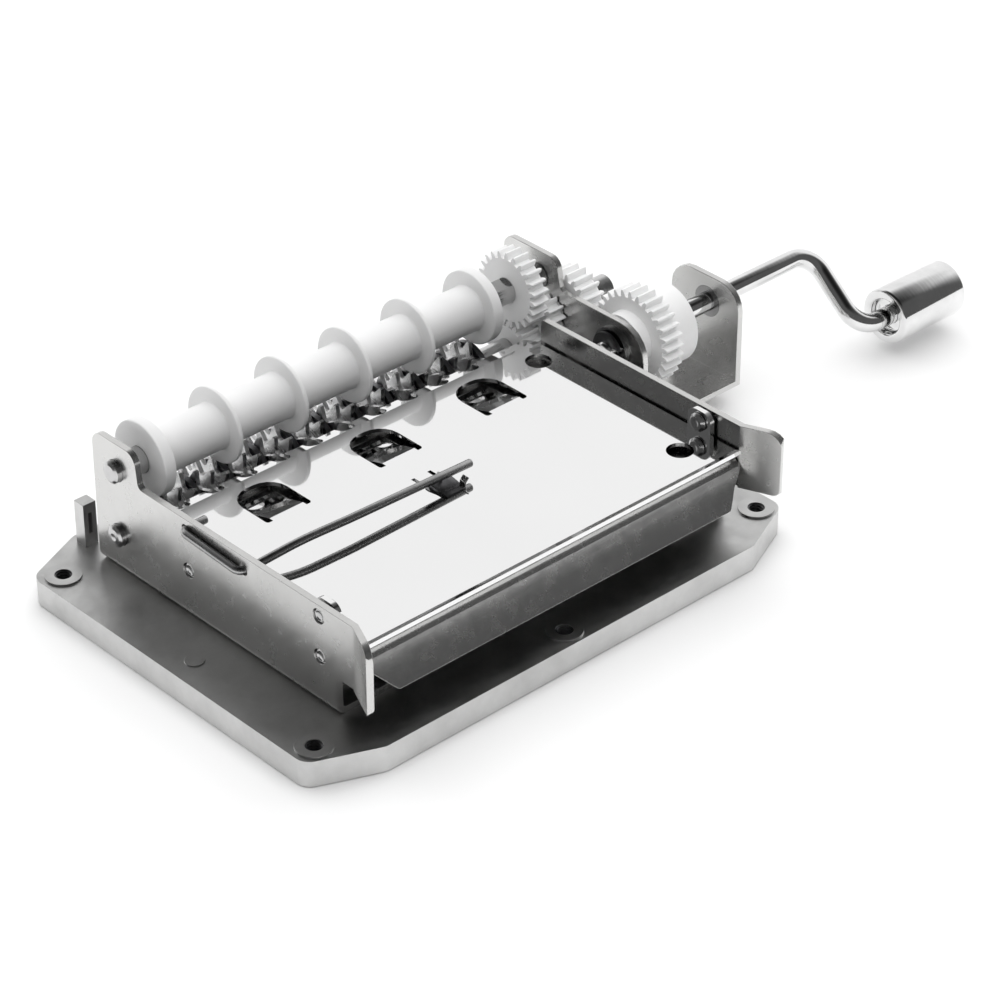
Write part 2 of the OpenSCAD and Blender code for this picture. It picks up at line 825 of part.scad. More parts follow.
// A turned axle: full radius between the plates, with journals in both of them
module turned_axle(z) {
    bar(-inner_x + 0.15, wall_x - 0.15, feed_y, z, axle_r);
    bar(-outer_x - axle_end_x, journal_end_x, feed_y, z, journal_r);
}

module feed_shaft() {
    color([0.7, 0.7, 0.7])
    union()
        turned_axle(feed_z);
}

// A ring along X, centred on x
module ring(x, half, z, outer, inner) {
    difference() {
        bar(x - half, x + half, feed_y, z, outer);
        bar(x - half - 1, x + half + 1, feed_y, z, inner);
    }
}

module feed_discs() {
    color([0.4, 0.4, 0.42])
    for (i = [0 : groups])
        ring(first_note_x - note_pitch / 2 + 3 * note_pitch * i, 0.45, feed_z, disc_r, axle_r);
}

// Outline of a star wheel: blunt points with straight flanks
function star_outline() = [
    for (k = [0 : star_points - 1])
    let (a = 360 * k / star_points)
    each [
        for (c = [[star_root_r, -14], [star_r, -1.8], [star_r, 1.8], [star_root_r, 14]])
        c[0] * [cos(a + c[1]), sin(a + c[1])]
    ]
];

// One star wheel on the feed shaft: hub is half the length of its hub
module star_wheel(x, hub, turn) {
    difference() {
        union() {
            translate([x - star_t / 2, feed_y, feed_z])
                rotate([turn, 0, 0])
                    rotate([90, 0, 90])
                        linear_extrude(star_t)
                            polygon(star_outline());
            bar(x - hub, x + hub, feed_y, feed_z, star_hub_r);
        }
        bar(x - 3, x + 3, feed_y, feed_z, axle_r + fit);
    }
}

// Three star wheels that work the notes of one group
module star_wheels(group) {
    color([0.66, 0.66, 0.66])
    for (k = [0 : 2])
        star_wheel(first_note_x + note_pitch * (3 * group + k), k == 1 ? 1.4 : 0.5, star_twist * (3 * group + k));
}

module upper_roller() {
    color([0.95, 0.95, 0.94])
    difference() {
        union() {
            bar(left_hub_x[0] + 1, right_hub_x[1] - 1, feed_y, roller_z, roller_body_r);
            bar(left_hub_x[0], left_hub_x[1], feed_y, roller_z, roller_flange_r);
            bar(right_hub_x[0], right_hub_x[1], feed_y, roller_z, roller_flange_r);
            for (i = [2 : 2 : groups - 2])
                let (x = first_note_x - note_pitch / 2 + 3 * note_pitch * i)
                    bar(x - roller_flange_t / 2, x + roller_flange_t / 2, feed_y, roller_z, roller_flange_r);
        }
        bar(left_hub_x[0] - 1, right_hub_x[1] + 1, feed_y, roller_z, axle_r);
    }
}

module roller_axle() {
    color([0.75, 0.75, 0.75])
    difference() {
        turned_axle(roller_z);
        translate([right_hub_x[1] + 0.2, feed_y - 3, roller_z + axle_r - 0.6])
            cube([roller_gear_x[0] - right_hub_x[1] - 0.3, 6, 2]);
    }
}

module roller_gear() {
    color([0.96, 0.96, 0.95])
    difference() {
        gear(roller_gear_x, feed_y, roller_z, roller_teeth, roller_turn);
        bar(roller_gear_x[0] - 1, roller_gear_x[1] + 1, feed_y, roller_z, axle_r);
    }
}

module feed_gear() {
    color([0.96, 0.96, 0.95])
    difference() {
        gear(feed_gear_x, feed_y, feed_z, feed_teeth, feed_turn);
        bar(feed_gear_x[0] - 1, feed_gear_x[1] + 1, feed_y, feed_z, axle_r);
    }
}

module intermediate_shaft() {
    color([0.7, 0.7, 0.7])
    difference() {
        bar(pinion_x[1], 54, mid_axis[0], mid_axis[1], axle_r);
        difference() {
            bar(ring_x[0], ring_x[1], mid_axis[0], mid_axis[1], axle_r + 1);
            bar(ring_x[0] - 1, ring_x[1] + 1, mid_axis[0], mid_axis[1], axle_r - ring_depth);
        }
    }
}

module pinion() {
    color([0.96, 0.96, 0.95])
    gear(pinion_x, mid_axis[0], mid_axis[1], pinion_teeth, pinion_turn);
}

module outer_gear() {
    color([0.96, 0.96, 0.95])
    difference() {
        gear(outer_gear_x, mid_axis[0], mid_axis[1], outer_teeth, outer_turn);
        bar(outer_gear_x[0] - 1, outer_gear_x[1] + 1, mid_axis[0], mid_axis[1], axle_r);
    }
}

module intermediate_ring() {
    color([0.3, 0.3, 0.3])
    difference() {
        bar(ring_x[0], ring_x[1], mid_axis[0], mid_axis[1], axle_r + 1);
        bar(ring_x[0] - 1, ring_x[1] + 1, mid_axis[0], mid_axis[1], axle_r - ring_depth);
        translate([ring_x[0] - 1, mid_axis[0] - 0.9, mid_axis[1] - 4])
            cube([3, 1.8, 4]);
    }
}

module crank_gear() {
    color([0.96, 0.96, 0.95])
    difference() {
        union() {
            gear(crank_gear_x, crank_y, crank_z, crank_teeth, crank_turn);
            bar(crank_gear_x[1], hub_end_x, crank_y, crank_z, crank_hub_r);
            bar(crank_boss_x, crank_gear_x[0], crank_y, crank_z, crank_boss_r);
        }
        bar(crank_boss_x - 1, hub_end_x + 1, crank_y, crank_z, rod_r);
    }
}

// Quarter bend of the rod in its own XY plane, from +X towards +Y round the origin
module rod_bend() {
    rotate([0, 0, -90])
        rotate_extrude(angle = 90)
            translate([rod_bend_r, 0])
                circle(r = rod_r);
}

module crank_rod() {
    straight = crank_throw - 2 * rod_bend_r;
    color([0.8, 0.8, 0.8])
    translate([0, crank_y, crank_z])
        rotate([crank_angle, 0, 0])
            difference() {
                union() {
                    bar(rod_inner_x, arm_x - rod_bend_r, 0, 0, rod_r);
                    translate([arm_x - rod_bend_r, rod_bend_r, 0])
                        rod_bend();
                    translate([arm_x, rod_bend_r, 0])
                        rotate([-90, 0, 0])
                            cylinder(h = straight, r = rod_r);
                    translate([arm_x + rod_bend_r, crank_throw - rod_bend_r, 0])
                        rotate([0, 0, 180])
                            rod_bend();
                    bar(arm_x + rod_bend_r, knob_x + knob_bore_end + 1.2, crank_throw, 0, rod_r);
                }
                difference() {
                    bar(clip_x[0], clip_x[1], 0, 0, rod_r + 1);
                    bar(clip_x[0] - 1, clip_x[1] + 1, 0, 0, rod_r - clip_depth);
                }
            }
}

module crank_clip() {
    color([0.3, 0.3, 0.3])
    difference() {
        bar(clip_x[0], clip_x[1], crank_y, crank_z, rod_r + 1.3);
        bar(clip_x[0] - 1, clip_x[1] + 1, crank_y, crank_z, rod_r - clip_depth);
        translate([clip_x[0] - 1, crank_y - 4, crank_z - 0.8])
            cube([3, 4, 1.6]);
    }
}

// Flanged bush through a wall: the flange lies on the face at x on the side given
module bush(x, side) {
    difference() {
        union() {
            bar(x, x + sheet_t, crank_y, crank_z, bush_r);
            bar(side < 0 ? x - bush_flange_t : x + sheet_t, side < 0 ? x : x + sheet_t + bush_flange_t,
                crank_y, crank_z, bush_flange_r);
        }
        bar(x - 1, x + 3, crank_y, crank_z, rod_r + fit);
    }
}

module crank_bushes() {
    color([0.6, 0.6, 0.6])
    union() {
        bush(wall_x, -1);
        bush(far_wall_x, 1);
    }
}

// Puts the knob's own axis, with its near end at the origin, at the end of the crank
module at_knob() {
    translate([knob_x, crank_y, crank_z])
        rotate([crank_angle, 0, 0])
            translate([0, crank_throw, 0])
                children();
}

module crank_knob() {
    color([0.85, 0.85, 0.85])
    at_knob()
        difference() {
            rotate([0, 90, 0])
                rotate_extrude()
                    polygon([
                        [0, 0], [knob_r - 0.5, 0], [knob_r, 0.5],
                        [knob_r, knob_len - 0.7], [knob_r - 0.7, knob_len], [0, knob_len]
                    ]);
            bar(-1, knob_len + 1, 0, 0, rod_r + fit);
            bar(-1, recess_len, 0, 0, recess_r);
            bar(knob_bore_end, knob_len + 1, 0, 0, cap_r);
        }
}

module knob_cap() {
    color([0.8, 0.8, 0.8])
    at_knob()
        bar(knob_len - cap_len, knob_len, 0, 0, cap_r);
}

module knob_washer() {
    color([0.5, 0.5, 0.5])
    at_knob()
        difference() {
            bar(knob_bore_end + 0.3, knob_bore_end + 1, 0, 0, 2.6);
            bar(knob_bore_end - 1, knob_bore_end + 2, 0, 0, rod_r);
        }
}

base_plate();
left_side_plate();
right_rail();
gear_frame();
frame_screws();
lower_guide();
guide_rivets();
top_plate();
pivot_rivets();
wire_spring();
comb();
comb_weights();
comb_anvil();
comb_screws();
damper_bar();
feed_shaft();
feed_discs();
star_wheels(0);  // star_wheels_01
star_wheels(1);  // star_wheels_02
star_wheels(2);  // star_wheels_03
star_wheels(3);  // star_wheels_04
star_wheels(4);  // star_wheels_05
star_wheels(5);  // star_wheels_06
star_wheels(6);  // star_wheels_07
star_wheels(7);  // star_wheels_08
star_wheels(8);  // star_wheels_09
star_wheels(9);  // star_wheels_10
upper_roller();
roller_axle();
roller_gear();
feed_gear();
intermediate_shaft();
pinion();
outer_gear();
intermediate_ring();
crank_gear();
crank_rod();
crank_bushes();
crank_clip();
crank_knob();
knob_cap();
knob_washer();
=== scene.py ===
import json
import math

import bmesh
import bpy
import numpy as np
from bpy.props import FloatProperty, FloatVectorProperty, IntProperty
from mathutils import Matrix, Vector

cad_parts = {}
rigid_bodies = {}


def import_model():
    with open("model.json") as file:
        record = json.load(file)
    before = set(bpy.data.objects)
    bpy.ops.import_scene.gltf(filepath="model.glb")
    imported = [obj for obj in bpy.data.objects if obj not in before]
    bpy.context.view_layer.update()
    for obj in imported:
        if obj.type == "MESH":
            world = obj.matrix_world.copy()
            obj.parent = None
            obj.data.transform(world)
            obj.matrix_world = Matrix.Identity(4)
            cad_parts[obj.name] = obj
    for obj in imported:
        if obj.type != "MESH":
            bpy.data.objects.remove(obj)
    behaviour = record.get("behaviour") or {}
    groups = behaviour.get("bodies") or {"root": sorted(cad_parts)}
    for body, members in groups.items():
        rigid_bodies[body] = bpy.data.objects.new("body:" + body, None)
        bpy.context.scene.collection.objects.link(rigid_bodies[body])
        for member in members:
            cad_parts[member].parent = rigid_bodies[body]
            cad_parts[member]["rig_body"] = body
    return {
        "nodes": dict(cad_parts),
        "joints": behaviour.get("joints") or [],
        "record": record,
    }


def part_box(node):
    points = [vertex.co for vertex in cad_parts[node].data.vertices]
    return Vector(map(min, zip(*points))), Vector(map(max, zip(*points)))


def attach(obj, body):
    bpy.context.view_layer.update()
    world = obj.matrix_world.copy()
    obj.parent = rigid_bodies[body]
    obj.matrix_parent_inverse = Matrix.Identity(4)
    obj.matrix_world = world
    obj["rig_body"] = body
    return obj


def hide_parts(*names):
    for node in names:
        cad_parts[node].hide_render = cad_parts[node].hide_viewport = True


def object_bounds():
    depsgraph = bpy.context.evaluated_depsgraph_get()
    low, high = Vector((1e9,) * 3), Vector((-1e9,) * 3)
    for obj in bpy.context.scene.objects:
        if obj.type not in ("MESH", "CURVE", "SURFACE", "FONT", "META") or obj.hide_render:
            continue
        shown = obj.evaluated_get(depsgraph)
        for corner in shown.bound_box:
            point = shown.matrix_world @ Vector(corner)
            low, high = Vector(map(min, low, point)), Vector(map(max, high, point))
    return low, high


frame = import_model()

bl_info = {
    "name": "Paper-strip music movement",
    "version": (1, 0, 0),
    "blender": (4, 5, 0),
    "location": "3D View > Sidebar > Movement",
    "description": "Dresses a hand-cranked paper-strip music movement with its surfaces and finishes",
    "category": "Object",
}

MM = 0.001
TRACK_HALF = 35.5 * MM              # half the clear width between the side plates
WIRE_OVER_PLATE = 0.00322           # highest point of the wire above the pressing plate's face
FLOOR_GAP = 0.2 * MM                # the floor lies this far under the base
CAMERA_PLACE = (-0.28033, -0.31858, 0.28681)
CAMERA_LENS = 129.1                 # in millimetres, on a sensor 36 mm wide
HEADING = math.radians(42.877)      # the camera looks this far from +Y towards +X
DOWN = math.radians(33.102)         # and this far below the horizon
CAD_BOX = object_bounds()
JOINTS = {j["name"]: j for j in frame["joints"]}
SLOT_OF = {s["node"]: s["material_slot"] for s in frame["record"]["subparts"]}
FINISH_NAMES = {}                   # material names by the record's material slot, filled by main


# ---------------------------------------------------------------- sizes and colours

def length(name, text, default_mm):
    """A length property, at most 200 mm, whose default is given in millimetres."""
    return FloatProperty(name=name, description=text, default=default_mm * MM, min=0.0,
                         max=200 * MM, subtype="DISTANCE", unit="LENGTH", precision=5)


def colour(name, text, default):
    """A colour property."""
    return FloatVectorProperty(name=name, description=text, default=default, size=3,
                               subtype="COLOR", min=0.0, max=1.0)


class MovementSizes(bpy.types.PropertyGroup):
    """Sizes of the details that are added to the movement."""
    sheet_edge: length("Sheet edge", "Rounding along the edges of the sheet parts", 0.12)
    cast_edge: length("Casting edge", "Rounding along the edges of the base casting", 0.35)
    tooth_edge: length("Tooth edge", "Rounding along the edges of the gear teeth", 0.05)
    rivet_dome: length("Rivet dome", "Height of the domed end of a rivet or axle", 0.35)
    thread_depth: length("Thread depth", "Depth of the threads in the mounting holes", 0.22)
    thread_pitch: length("Thread pitch", "Pitch of the threads in the mounting holes", 0.5)
    wire_radius: length("Wire radius", "Radius of the wire spring", 0.6)
    rod_bend: length("Rod bend", "Centre-line radius of the crank rod's bends", 4.0)
    round_steps: IntProperty(name="Round steps", description="Segments round a turned piece",
                             default=96, min=24, max=256)


class MovementColours(bpy.types.PropertyGroup):
    """Colours of the movement's finishes."""
    casting: colour("Casting", "Die-cast base plate", (0.66, 0.66, 0.655))
    sheet: colour("Sheet", "Satin nickel on the frame's sheet parts", (0.64, 0.638, 0.63))
    mirror: colour("Mirror", "Polished pressing plate", (0.86, 0.86, 0.86))
    steel: colour("Steel", "Rivets, screws and shafts", (0.58, 0.58, 0.58))
    star: colour("Star wheels", "Stamped star wheels", (0.90, 0.90, 0.90))
    wire: colour("Wire", "Wire spring", (0.42, 0.42, 0.42))
    chrome: colour("Chrome", "Crank rod and knob", (0.80, 0.80, 0.80))
    nylon: colour("Nylon", "White moulded gears", (0.86, 0.86, 0.86))
    roller: colour("Roller", "Translucent roller", (0.87, 0.87, 0.87))
    comb: colour("Comb", "Ground comb steel", (0.42, 0.43, 0.45))
    # on the crank clip this dark colour is painted shade for the shadowed hollow round the crank pin
    dark: colour("Dark steel", "Feed discs, clips and rings", (0.16, 0.16, 0.165))
    # painted shade: the crank bushes are dark grey to stand in for the shadow in the hollow round the
    # crank pin
    bush: colour("Bush", "Crank bushes", (0.34, 0.34, 0.34))
    lead: colour("Lead", "Weights on the comb's long teeth", (0.20, 0.20, 0.215))
    damper: colour("Dampers", "Soft plastic of the damper bar", (0.82, 0.82, 0.8))
    floor: colour("Floor", "Plain studio floor", (0.96, 0.96, 0.96))


def sizes():
    """The sizes in use."""
    return bpy.context.scene.movement_sizes


def colours():
    """The colours in use."""
    return bpy.context.scene.movement_colours


# ---------------------------------------------------------------- materials

class Finish:
    """A material under construction: its node tree, its shader and its object coordinates."""

    def __init__(self, name, base, metallic=0.0, roughness=0.5):
        self.material = bpy.data.materials.get(name) or bpy.data.materials.new(name)
        self.material.use_nodes = True
        self.tree = self.material.node_tree
        self.tree.nodes.clear()
        self.shader = self.tree.nodes.new("ShaderNodeBsdfPrincipled")
        output = self.tree.nodes.new("ShaderNodeOutputMaterial")
        self.link(self.shader.outputs["BSDF"], output.inputs["Surface"])
        self.place = self.tree.nodes.new("ShaderNodeTexCoord").outputs["Object"]
        self.base = tuple(base) + (1.0,)
        self.set("Base Color", self.base)
        self.set("Metallic", metallic)
        self.set("Roughness", roughness)

    def link(self, a, b):
        """Joins an output to an input."""
        self.tree.links.new(a, b)

    def set(self, socket, value):
        """Sets a value on the shader's own socket."""
        self.shader.inputs[socket].default_value = value

    def noise(self, scale, detail=4.0, roughness=0.55, stretch=(1, 1, 1)):
        """Noise per metre over object coordinates, stretched along an axis by a small factor."""
        mapping = self.tree.nodes.new("ShaderNodeMapping")
        mapping.inputs["Scale"].default_value = stretch
        self.link(self.place, mapping.inputs["Vector"])
        node = self.tree.nodes.new("ShaderNodeTexNoise")
        node.inputs["Scale"].default_value = scale
        node.inputs["Detail"].default_value = detail
        node.inputs["Roughness"].default_value = roughness
        self.link(mapping.outputs["Vector"], node.inputs["Vector"])
        return node.outputs["Fac"]

    def remap(self, value, low, high, to_low, to_high):
        """Maps a value from one range to another, clamped."""
        node = self.tree.nodes.new("ShaderNodeMapRange")
        for socket, number in (("From Min", low), ("From Max", high),
                               ("To Min", to_low), ("To Max", to_high)):
            node.inputs[socket].default_value = number
        self.link(value, node.inputs["Value"])
        return node.outputs["Result"]

    def shade(self, value, dark, light):
        """Colours the surface between two multiples of its base colour."""
        ramp = self.tree.nodes.new("ShaderNodeValToRGB")
        for stop, place, factor in zip(ramp.color_ramp.elements, (0.32, 0.68), (dark, light)):
            stop.position = place
            stop.color = tuple(min(1.0, c * factor) for c in self.base[:3]) + (1.0,)
        self.link(value, ramp.inputs["Fac"])
        self.link(ramp.outputs["Color"], self.shader.inputs["Base Color"])

    def rough(self, value, low, high):
        """Varies the roughness between two values."""
        self.link(self.remap(value, 0.3, 0.7, low, high), self.shader.inputs["Roughness"])

    def bumps(self, layers):
        """Chains bump layers, each a value, a height in metres and a strength."""
        normal = None
        for value, height, strength in layers:
            node = self.tree.nodes.new("ShaderNodeBump")
            node.inputs["Distance"].default_value = height
            node.inputs["Strength"].default_value = strength
            self.link(value, node.inputs["Height"])
            if normal is not None:
                self.link(normal, node.inputs["Normal"])
            normal = node.outputs["Normal"]
        self.link(normal, self.shader.inputs["Normal"])


def casting_finish():
    """Die-cast grey metal: cloudy tone, fine grain and faint flow marks."""
    f = Finish("casting_finish", colours().casting, metallic=1.0, roughness=0.42)
    f.shade(f.noise(75, 8, 0.62), 0.84, 1.1)
    f.rough(f.noise(260, 5, 0.6), 0.3, 0.46)
    f.bumps([(f.noise(1100, 5, 0.6), 0.00006, 0.35), (f.noise(240, 3, 0.5), 0.00008, 0.15)])
    return f.material


def sheet_finish():
    """Satin nickel: fine rolling lines along the sheet and soft tone changes."""
    f = Finish("sheet_finish", colours().sheet, metallic=1.0, roughness=0.26)
    f.shade(f.noise(90, 5, 0.6), 0.95, 1.04)
    f.rough(f.noise(500, 4, 0.6), 0.22, 0.29)
    f.bumps([(f.noise(2600, 3, 0.5, (1, 0.1, 1)), 0.000004, 0.3)])
    return f.material


def mirror_finish():
    """Mirror polish: nearly flat, with faint polishing haze."""
    f = Finish("mirror_finish", colours().mirror, metallic=1.0, roughness=0.045)
    f.shade(f.noise(30, 3, 0.5), 0.985, 1.01)
    f.rough(f.noise(90, 5, 0.6), 0.03, 0.06)
    f.bumps([(f.noise(26, 2, 0.4), 0.0008, 0.012)])
    return f.material


def turned_finish(name, base, low, high):
    """Turned or drawn metal: fine rings round the X axis and small tone changes. The roughness
    varies between low and high."""
    f = Finish(name, base, metallic=1.0, roughness=(low + high) / 2)
    f.shade(f.noise(160, 4, 0.55), 0.9, 1.08)
    f.rough(f.noise(1400, 3, 0.5, (1, 0.08, 0.08)), low, high)
    f.bumps([(f.noise(2600, 2, 0.5, (1, 0.05, 0.05)), 0.000015, 0.35)])
    return f.material


def nylon_finish():
    """White moulded nylon: milky, a little see-through at the tooth tips."""
    f = Finish("nylon_finish", colours().nylon, roughness=0.42)
    f.set("Subsurface Weight", 0.2)
    f.set("Subsurface Radius", (0.9, 0.9, 0.9))
    f.set("Subsurface Scale", 0.0005)
    f.shade(f.noise(120, 4, 0.5), 0.97, 1.02)
    f.rough(f.noise(500, 3, 0.5), 0.36, 0.5)
    f.bumps([(f.noise(1400, 3, 0.5), 0.00003, 0.25)])
    return f.material


def roller_finish():
    """White plastic with a soft moulded gloss, which lets a little light through."""
    f = Finish("roller_finish", colours().roller, roughness=0.3)
    f.set("Transmission Weight", 0.12)
    f.set("IOR", 1.4)
    f.set("Subsurface Weight", 0.4)
    f.set("Subsurface Radius", (1.0, 1.0, 1.0))
    f.set("Subsurface Scale", 0.001)
    f.shade(f.noise(60, 4, 0.5), 0.98, 1.02)
    f.rough(f.noise(300, 3, 0.5), 0.28, 0.38)
    f.bumps([(f.noise(1400, 3, 0.5), 0.000006, 0.2)])
    return f.material


def damper_finish():
    """Soft pale plastic of the dampers."""
    f = Finish("damper_finish", colours().damper, roughness=0.6)
    f.shade(f.noise(300, 4, 0.5), 0.94, 1.03)
    f.bumps([(f.noise(1200, 3, 0.5), 0.00004, 0.3)])
    return f.material


def lead_finish():
    """Dull cast lead with a grey skin."""
    f = Finish("lead_finish", colours().lead, metallic=1.0, roughness=0.6)
    f.shade(f.noise(400, 5, 0.6), 0.8, 1.2)
    f.rough(f.noise(900, 3, 0.5), 0.5, 0.75)
    f.bumps([(f.noise(1100, 4, 0.6), 0.0001, 0.4)])
    return f.material


def finishes():
    """Every finish by the record's material slot."""
    c = colours()
    casting = casting_finish()
    return {
        "cast_zinc": casting,
        "anvil_zinc": casting,
        "nickel_sheet": sheet_finish(),
        "polished_steel": mirror_finish(),
        "steel": turned_finish("steel_finish", c.steel, 0.14, 0.28),
        "comb_steel": turned_finish("comb_finish", c.comb, 0.24, 0.4),
        "lead": lead_finish(),
        "damper_plastic": damper_finish(),
        "disc_steel": turned_finish("dark_steel_finish", c.dark, 0.28, 0.45),
        "star_steel": turned_finish("star_finish", c.star, 0.2, 0.36),
        "clear_nylon": roller_finish(),
        "white_nylon": nylon_finish(),
        "bush_steel": turned_finish("bush_finish", c.bush, 0.2, 0.34),
        "chrome": turned_finish("chrome_finish", c.chrome, 0.05, 0.1),
        "wire": turned_finish("wire_finish", c.wire, 0.22, 0.34),
    }


# ---------------------------------------------------------------- mesh making

def unit(v):
    """Each row of an array divided by its length."""
    return v / np.linalg.norm(v, axis=-1, keepdims=True)


def add_piece(name, mesh, body, slot, replaces=(), material=None, sharp=35.0):
    """Links a mesh as a piece: smooth but for its sharp edges, finished, riding on its body."""
    mesh.shade_smooth()
    mesh.set_sharp_from_angle(angle=math.radians(sharp))
    piece = bpy.data.objects.new(name, mesh)
    bpy.context.scene.collection.objects.link(piece)
    mesh.materials.append(bpy.data.materials[material or FINISH_NAMES[slot]])
    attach(piece, body)
    if replaces:
        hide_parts(*replaces)
    return piece


def surface(points, close_u=False, close_v=True):
    """Quads over a grid of points, as vertices and faces; u runs down the rows, v along them."""
    rows, cols = points.shape[:2]
    u = np.arange(rows if close_u else rows - 1)
    v = np.arange(cols if close_v else cols - 1)
    i, j = np.meshgrid(u, v, indexing="ij")
    i2, j2 = (i + 1) % rows, (j + 1) % cols
    quads = np.stack([i * cols + j, i * cols + j2, i2 * cols + j2, i2 * cols + j], axis=-1)
    return points.reshape(-1, 3), quads.reshape(-1, 4)


def join(parts):
    """One vertex list and one face list from several."""
    shift = np.cumsum([0] + [len(v) for v, _ in parts[:-1]])
    return np.vstack([v for v, _ in parts]), np.vstack([f + s for (_, f), s in zip(parts, shift)])


def closed_mesh(name, verts, faces):
    """A mesh with its doubles merged and its normals turned outwards."""
    mesh = bpy.data.meshes.new(name)
    mesh.from_pydata(verts.tolist(), [], faces.tolist())
    bm = bmesh.new()
    bm.from_mesh(mesh)
    bmesh.ops.remove_doubles(bm, verts=bm.verts, dist=1e-7)
    bmesh.ops.dissolve_degenerate(bm, edges=bm.edges, dist=1e-8)
    bmesh.ops.recalc_face_normals(bm, faces=bm.faces)
    bm.to_mesh(mesh)
    bm.free()
    return mesh


def filleted(profile, radius, steps=5):
    """A polyline whose inner corners are replaced by arcs: at each corner the arc's centre lies on
    the bisector, and the arc runs between the two points where the circle touches the sides.
    The radius is one for all the corners, or one for each."""
    points = np.asarray(profile, float)
    radii = np.broadcast_to(radius, len(points) - 2)
    most = 0.45                     # an arc takes up at most this share of a side
    out = [points[0][None]]
    for a, p, b, bend in zip(points[:-2], points[1:-1], points[2:], radii):
        u, v = unit(a - p), unit(b - p)
        half = math.acos(float(np.clip(u @ v, -1, 1))) / 2
        reach = min(bend / math.tan(half), most * np.linalg.norm(a - p), most * np.linalg.norm(b - p))
        if abs(half - math.pi / 2) < 1e-4:
            out.append(p[None])
            continue
        r = reach * math.tan(half)
        centre = p + unit(u + v) * r / math.sin(half)
        start, end = unit(p + u * reach - centre), unit(p + v * reach - centre)
        turn = math.pi - 2 * half
        t = np.linspace(0, 1, steps + 1)[:, None] * turn
        out.append(centre + r * (np.sin(turn - t) * start + np.sin(t) * end) / math.sin(turn))
    out.append(points[-1][None])
    return np.vstack(out)


def turned(profile, y, z, fillet=0.0, steps=None):
    """A surface of revolution about the line through (y, z) along X: the profile's first number is
    the place along the axis and its second the radius, and angle v goes once round."""
    line = filleted(profile, fillet) if fillet else np.asarray(profile, float)
    v = np.linspace(0, 2 * math.pi, steps or sizes().round_steps, endpoint=False)
    x, r = line[:, :1], line[:, 1:]
    grid = np.stack([x + 0 * v, y + r * np.cos(v), z + r * np.sin(v)], axis=-1)
    return surface(grid)


def swept(line, radius, sides):
    """A round tube along a line: the ring at each point lies in the plane square to the line's
    heading, at angle v round it, and both ends close in a flat dome."""
    heading = unit(np.gradient(line, axis=0))
    across = np.zeros_like(line)
    n = unit(np.cross([0, 0, 1.0], heading[0]))
    for k, t in enumerate(heading):
        n = unit(n - (n @ t) * t)
        across[k] = n
    other = np.cross(heading, across)
    v = np.linspace(0, 2 * math.pi, sides, endpoint=False)[None, :, None]
    grid = line[:, None] + radius * (np.cos(v) * across[:, None] + np.sin(v) * other[:, None])
    angles = np.linspace(0, math.pi / 2, 5)[1:]
    depth = radius * 0.5
    caps = [[line[i] + side * heading[i] * depth * math.sin(a) + (grid[i] - line[i]) * math.cos(a)
             for a in angles] for i, side in ((0, -1), (-1, 1))]
    return surface(np.stack(caps[0][::-1] + list(grid) + caps[1]))


def round_edges(piece, width, sharp):
    """Gives a piece a bevel along its edges that are sharper than an angle in degrees."""
    bevel = piece.modifiers.new("edges", "BEVEL")
    bevel.width = width
    bevel.segments = 2
    bevel.limit_method = "ANGLE"
    bevel.angle_limit = math.radians(sharp)
    bevel.use_clamp_overlap = True


def softened(node, name, edge, sharp=40.0, trim=None):
    """A copy of a CAD node with its triangles merged into flat faces and its sharp edges rounded.
    What stands in the box trim is cut off, and the openings that this leaves are closed."""
    mesh = frame["nodes"][node].data.copy()
    mesh.name = name
    mesh.materials.clear()
    bm = bmesh.new()
    bm.from_mesh(mesh)
    bmesh.ops.remove_doubles(bm, verts=bm.verts, dist=1e-6)
    flat = math.radians(0.5)        # triangles that turn by less than this are one face
    bmesh.ops.dissolve_limit(bm, angle_limit=flat, verts=bm.verts, edges=bm.edges)
    if trim:
        low, high = trim
        inside = [v for v in bm.verts if all(low[i] < v.co[i] < high[i] for i in range(3))]
        bmesh.ops.delete(bm, geom=inside, context="VERTS")
        bmesh.ops.holes_fill(bm, edges=[e for e in bm.edges if e.is_boundary])
    bm.to_mesh(mesh)
    bm.free()
    piece = add_piece(name, mesh, frame["nodes"][node]["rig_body"], SLOT_OF[node], (node,))
    round_edges(piece, edge, sharp)
    normals = piece.modifiers.new("normals", "WEIGHTED_NORMAL")
    normals.keep_sharp = True
    normals.weight = 100


def axis_of(joint):
    """Where a hinge's axis crosses the YZ plane."""
    return JOINTS[joint]["pos_m"][1], JOINTS[joint]["pos_m"][2]


def saddle_place():
    """The left and right edges of the saddle's window, and the height of the plate's face there."""
    wire_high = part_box("wire_spring")[1]
    return wire_high.x - 6.6 * MM, wire_high.x - 3.0 * MM, wire_high.z - WIRE_OVER_PLATE


def saddle_box():
    """The space just over the pressing plate in which the CAD's saddle stands."""
    left, right, top = saddle_place()
    return (left, -8.6 * MM, top + 0.05 * MM), (right - 1.0 * MM, -5.2 * MM, top + 3.0 * MM)


def ribbon(name, line, start, end, thickness, body, slot, along=0):
    """A bent strip: a line in Z and in Y or X is carried along the other of the two, X (0) or Y (1),
    between two places, then given a thickness."""
    run = np.linspace(start, end, 4)[None, :]
    line = np.asarray(line, float)
    grid = np.stack([line[:, :1] + 0 * run, line[:, :1] + 0 * run, line[:, 1:] + 0 * run], axis=-1)
    grid[..., along] = run
    verts, faces = surface(grid, close_v=False)
    mesh = bpy.data.meshes.new(name)
    mesh.from_pydata(verts.tolist(), [], faces.tolist())
    piece = add_piece(name, mesh, body, slot, sharp=50.0)
    solid = piece.modifiers.new("thickness", "SOLIDIFY")
    solid.thickness = thickness
    solid.offset = 0.0
    round_edges(piece, thickness * 0.25, 50.0)


# ---------------------------------------------------------------- operators

